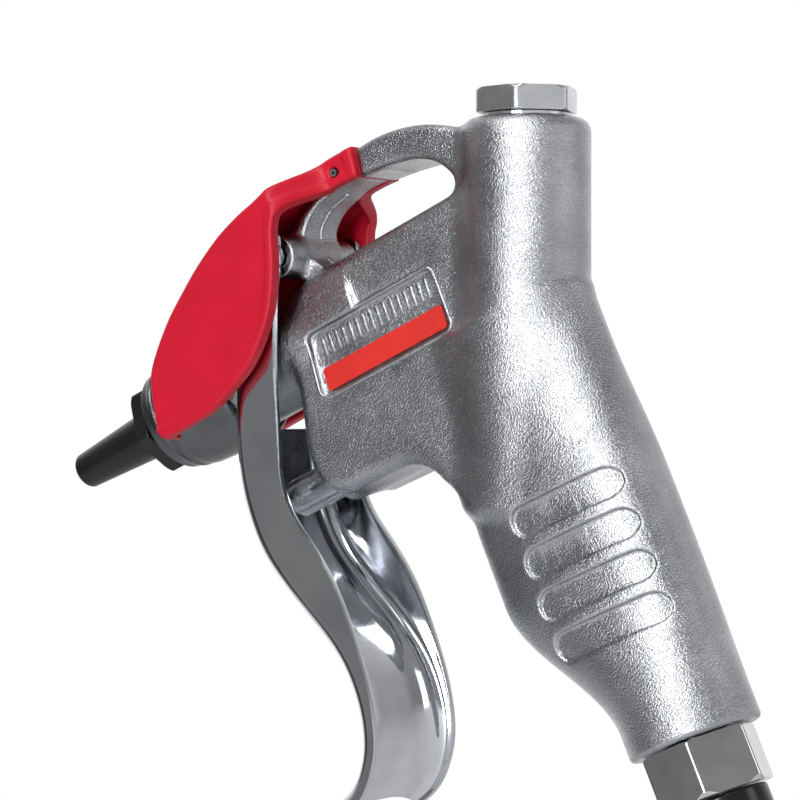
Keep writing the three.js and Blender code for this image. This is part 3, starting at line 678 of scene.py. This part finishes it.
FINISH = {
    "casting": metal("cast_plate", (0.34, 0.35, 0.37), (0.48, 0.49, 0.51), (0.17, 0.26),
                     2900, 0.17, 0.03),
    "bright_chrome": metal("polished_chrome", (0.52, 0.54, 0.57), (0.66, 0.67, 0.70),
                           (0.05, 0.11), 350, 0.012),
    "machined_steel": metal("machined_steel", (0.50, 0.52, 0.54), (0.68, 0.69, 0.70),
                            (0.20, 0.32), 2600, 0.02, 0, (1, 1, 0.06)),
    "spring_steel": metal("spring_steel", (0.35, 0.36, 0.38), (0.5, 0.5, 0.5), (0.25, 0.35),
                          3000, 0.01),
    "dark_chrome": metal("satin_dark_chrome", (0.10, 0.102, 0.11), (0.16, 0.165, 0.172),
                         (0.22, 0.32), 2400, 0.012),
    "plated_brass": metal("plated_inlet", (0.48, 0.49, 0.50), (0.62, 0.62, 0.63),
                          (0.12, 0.22), 2200, 0.012, 0, (1, 1, 0.08)),
    "brass": metal("brass", (0.55, 0.38, 0.12), (0.75, 0.56, 0.22), (0.25, 0.38), 2000, 0.01),
    "red_plastic": plastic("red_moulding", (0.44, 0.003, 0.018), (0.50, 0.004, 0.022),
                           (0.40, 0.50), 3200, 0.02, Specular_IOR_Level=0.32),
    "label": plastic("label_film", (0.52, 0.018, 0.014), (0.58, 0.024, 0.018),
                     (0.34, 0.42), 900, 0.004),
    "black_plastic": plastic("black_moulding", (0.004, 0.0042, 0.0046), (0.008, 0.0083, 0.009),
                             (0.18, 0.26), 1800, 0.006, Specular_IOR_Level=0.4),
    "seals": plastic("rubber", (0.010, 0.010, 0.010), (0.022, 0.022, 0.022), (0.55, 0.70),
                     1500, 0.015),
}


def show(obj, slot, *nodes, body="gun"):
    """Gives a piece its finish and body, and hides the CAD nodes that it stands for."""
    obj.data.materials.clear()
    obj.data.materials.append(FINISH[slot])
    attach(obj, body)
    if nodes:
        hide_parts(*nodes)
    return obj


# ---------------------------------------------------------------- pieces
skin = field_object("casting_skin", casting_field, "body_casting",
                    0.42, 190000)
show(skin, "casting", "body_casting")
for side, letter in ((-1, "near"), (1, "far")):
    outline = ridge_route(badge_outline(0.42), side * WEB_HALF)
    show(swept(f"badge_rim_{letter}", [outline], 0.42, 0.4), "casting")
    show(swept(f"badge_ribs_{letter}", badge_ribs(side), 0.45, 0.5, closed=False), "casting")
front_of_loop = ridge_route(LOOP_INSIDE[:34], 0.0, closed=False)
across_loop = [(at, up, side) for at, side, up in front_of_loop]
show(swept("loop_parting_line", [across_loop], 0.45, 0.4, closed=False), "casting")

moulding = field_object("cover_moulding", cover_field, "cover",
                        0.4, 150000)
show(moulding, "red_plastic", "cover")

show(lever(), "bright_chrome", "lever", body="trigger")

cap = rounded([(0, 29.5), (4.6, 29.5), (4.6, 24.5), (6.8, 24.5), (6.8, 32.9), (9.3, 32.9),
               (9.6, 33.2), (9.6, 36.9), (9.1, 37.4), (0, 37.4)], 0.12)
show(lathe("valve_cap_hex", cap, ON_VALVE, 144, (17, -1.22, 32.9, 37.4), 0.3),
     "machined_steel", "valve_cap")

pin = rounded([(0, 5.3), (0.5, 5.3), (2.4, 11.2), (2.4, 30), (1.7, 30), (1.7, 32), (2.4, 32),
               (2.4, 45.6), (3.8, 45.6), (3.8, 62.6), (2.9, 63.8), (1.6, 64.4), (0, 64.6)], 0.3)
show(lathe("push_pin_rod", pin, ON_PIN, 64), "machined_steel", "push_pin", body="plunger")

nut = rounded([(2.7, 34), (3.8, 34), (3.8, 40), (3, 40), (2.7, 39.7), (2.7, 34)], 0.15)
show(lathe("gland_nut_turned", nut, ON_PIN, 96), "plated_brass", "gland_nut")

sleeve = rounded([(10.5, 64.5), (11.4, 64.5), (11.8, 65.3), (11.8, 75), (11.5, 79.2), (11.2, 80),
                  (11.2, 80.6), (10.7, 80.8), (10.7, 81.4), (11, 81.6), (10.8, 82.4), (10.2, 83),
                  (10.2, 84.4), (9.9, 84.7), (6, 84.7), (6, 80), (8.6, 80), (8.6, 70.8),
                  (10.5, 70.8), (10.5, 64.5)], 0.3)
show(lathe("nozzle_sleeve_turned", sleeve, ON_NOZZLE, 128), "dark_chrome", "nozzle_sleeve")

tip = rounded([(3.2, 81), (5.7, 81), (5.7, 85.6), (9.4, 85.6), (9.75, 85.9), (9.75, 88),
               (9.2, 88.5), (5.3, 88.6), (5, 89.2), (3.65, 109.9), (3.3, 110.4),
               (1.7, 110.4), (1.3, 110), (1.3, 96), (3.2, 90), (3.2, 81)], 0.2)
show(lathe("nozzle_tip_moulding", tip, ON_NOZZLE, 144, (17, math.pi / 2 - 0.3, 85.6, 88.55), 0.35),
     "black_plastic", "nozzle")

bush = rounded([(5.7, 4.5), (10.1, 4.5), (10.9, 5.3), (10.9, 14.3), (10.5, 14.7), (6, 14.7),
                (6, 25), (4.2, 25), (4.2, 12.5), (5.7, 12.5), (5.7, 4.5)], 0.15)
show(lathe("inlet_bush_hex", bush, UPRIGHT, 144, (19, -1.26, 4.5, 14.7), 0.35),
     "plated_brass", "inlet_bush")

seat = rounded([(6, 0), (8.2, 0), (8.8, 0.6), (8.8, 3.8), (8.4, 4.2), (6, 4.2), (6, 0)], 0.25)
show(lathe("inlet_seat_ring", seat, UPRIGHT, 96), "black_plastic", "inlet_ring")

pivot_pin = rounded([(0, -13.8), (2.9, -13.8), (3.2, -13.5), (3.2, -12.6), (2, -12.6), (2, 12.8),
                     (1.5, 12.8), (1.5, 13.6), (2, 13.6), (1.7, 14.1), (0, 14.1)], 0.15)
show(lathe("lever_pin_turned", pivot_pin, ON_PIVOT, 48), "machined_steel", "lever_pin")

shown = {
    "label_plate": "label", "cap_washer": "machined_steel", "valve_spring": "spring_steel",
    "valve_stem": "machined_steel", "valve_seat": "brass", "seat_seal": "seals",
    "stem_o_ring": "seals", "pin_o_ring": "seals", "sleeve_o_ring": "seals",
    "nozzle_gasket": "seals", "pin_clip": "spring_steel", "cover_roll_pin": "spring_steel",
    "inlet_strainer": "brass",
}
for node, slot in shown.items():
    carried = frame["nodes"][node]
    for holder in carried.material_slots:
        holder.link = "OBJECT"
        holder.material = FINISH[slot]

# ---------------------------------------------------------------- stage, light and camera
# SIGHT points from the gun to the camera, and RIGHT and UP along the picture's sides.
TARGET = Vector((-33.65, 0, 95.55)) * MM
SIGHT = Vector((0.5174, -0.8241, -0.2304)).normalized()
RIGHT = Vector((0.7529, 0.5664, -0.3352)).normalized()
UP = SIGHT.cross(RIGHT).normalized()
DISTANCE = 0.537
SENSOR = 36.0
VIEW_ANGLE = math.radians(16.0)

camera_data = bpy.data.cameras.new("camera")
camera_data.sensor_width = SENSOR
camera_data.lens = SENSOR / 2 / math.tan(VIEW_ANGLE / 2)
camera_data.clip_start = 0.01
camera = bpy.data.objects.new("camera", camera_data)
bpy.context.scene.collection.objects.link(camera)
basis = Matrix((RIGHT, UP, SIGHT)).transposed()
camera.matrix_world = Matrix.Translation(TARGET + SIGHT * DISTANCE) @ basis.to_4x4()
bpy.context.scene.camera = camera

floor_mesh = bpy.data.meshes.new("floor")
FLOOR_HALF, FLOOR_Z = 1.6, -0.16
floor_corners = [(u * FLOOR_HALF, v * FLOOR_HALF, FLOOR_Z)
                 for u, v in ((-1, -1), (1, -1), (1, 1), (-1, 1))]
floor_mesh.from_pydata(floor_corners, [], [(0, 1, 2, 3)])
floor = bpy.data.objects.new("floor", floor_mesh)
bpy.context.scene.collection.objects.link(floor)
floor_material, floor_tree, floor_shader = new_material("pale_floor", (0.78, 0.78, 0.79), 0, 0.7)
tinted(floor_tree, floor_shader, noise(floor_tree, 6), (0.74, 0.74, 0.75), (0.80, 0.80, 0.81))
floor_mesh.materials.append(floor_material)


def softbox(name, direction, distance, width, height, power, upright=UP):
    """An area light that faces the gun from a direction."""
    data = bpy.data.lights.new(name, "AREA")
    data.shape = "RECTANGLE"
    data.size, data.size_y = width, height
    data.energy = power
    light = bpy.data.objects.new(name, data)
    bpy.context.scene.collection.objects.link(light)
    back = direction.normalized()
    side = upright.cross(back).normalized()
    axes = Matrix((side, back.cross(side), back)).transposed()
    light.matrix_world = Matrix.Translation(TARGET + back * distance) @ axes.to_4x4()
    return light


softbox("key", SIGHT * 0.94 - RIGHT * 0.34 + UP * 0.1, 1.2, 0.22, 1.3, 15)
softbox("side", SIGHT * 0.3 + RIGHT * 1.0 + UP * 0.15, 1.3, 0.4, 1.2, 3)
softbox("top", UP * 1.0 + SIGHT * 0.5 - RIGHT * 0.3, 1.3, 1.0, 0.7, 9, upright=SIGHT)

world = bpy.data.worlds.new("studio")
bpy.context.scene.world = world
world.use_nodes = True
tree = world.node_tree
background = tree.nodes["Background"]
direction = tree.nodes.new("ShaderNodeTexCoord").outputs["Generated"]


def facing(towards, low, high, start, end):
    """Brightness that goes from low to high as directions turn towards one direction."""
    dot = tree.nodes.new("ShaderNodeVectorMath")
    dot.operation = "DOT_PRODUCT"
    dot.inputs[1].default_value = towards.normalized()
    tree.links.new(direction, dot.inputs[0])
    spread = tree.nodes.new("ShaderNodeMapRange")
    spread.interpolation_type = "SMOOTHSTEP"
    spread.inputs["From Min"].default_value = start
    spread.inputs["From Max"].default_value = end
    spread.inputs["To Min"].default_value = low
    spread.inputs["To Max"].default_value = high
    tree.links.new(dot.outputs["Value"], spread.inputs["Value"])
    return spread.outputs["Result"]


def combined(operation, a, b):
    """Two of the background's values put through a math operation."""
    node = tree.nodes.new("ShaderNodeMath")
    node.operation = operation
    tree.links.new(a, node.inputs[0])
    tree.links.new(b, node.inputs[1])
    return node.outputs["Value"]


behind = facing(-SIGHT, 0.32, 1.0, 0.2, 0.85)
dim_left = facing(-RIGHT * 0.9 + SIGHT * 0.45, 1.0, 0.75, 0.55, 0.95)
dark_ahead = facing(Vector((-0.97, -0.05, 0.22)), 1.0, 0.15, 0.93, 0.985)
left = combined("MULTIPLY", dim_left, dark_ahead)
tree.links.new(combined("MULTIPLY", behind, left), background.inputs["Strength"])
background.inputs["Color"].default_value = (1, 1, 1, 1)

bpy.context.scene.view_settings.view_transform = "Standard"
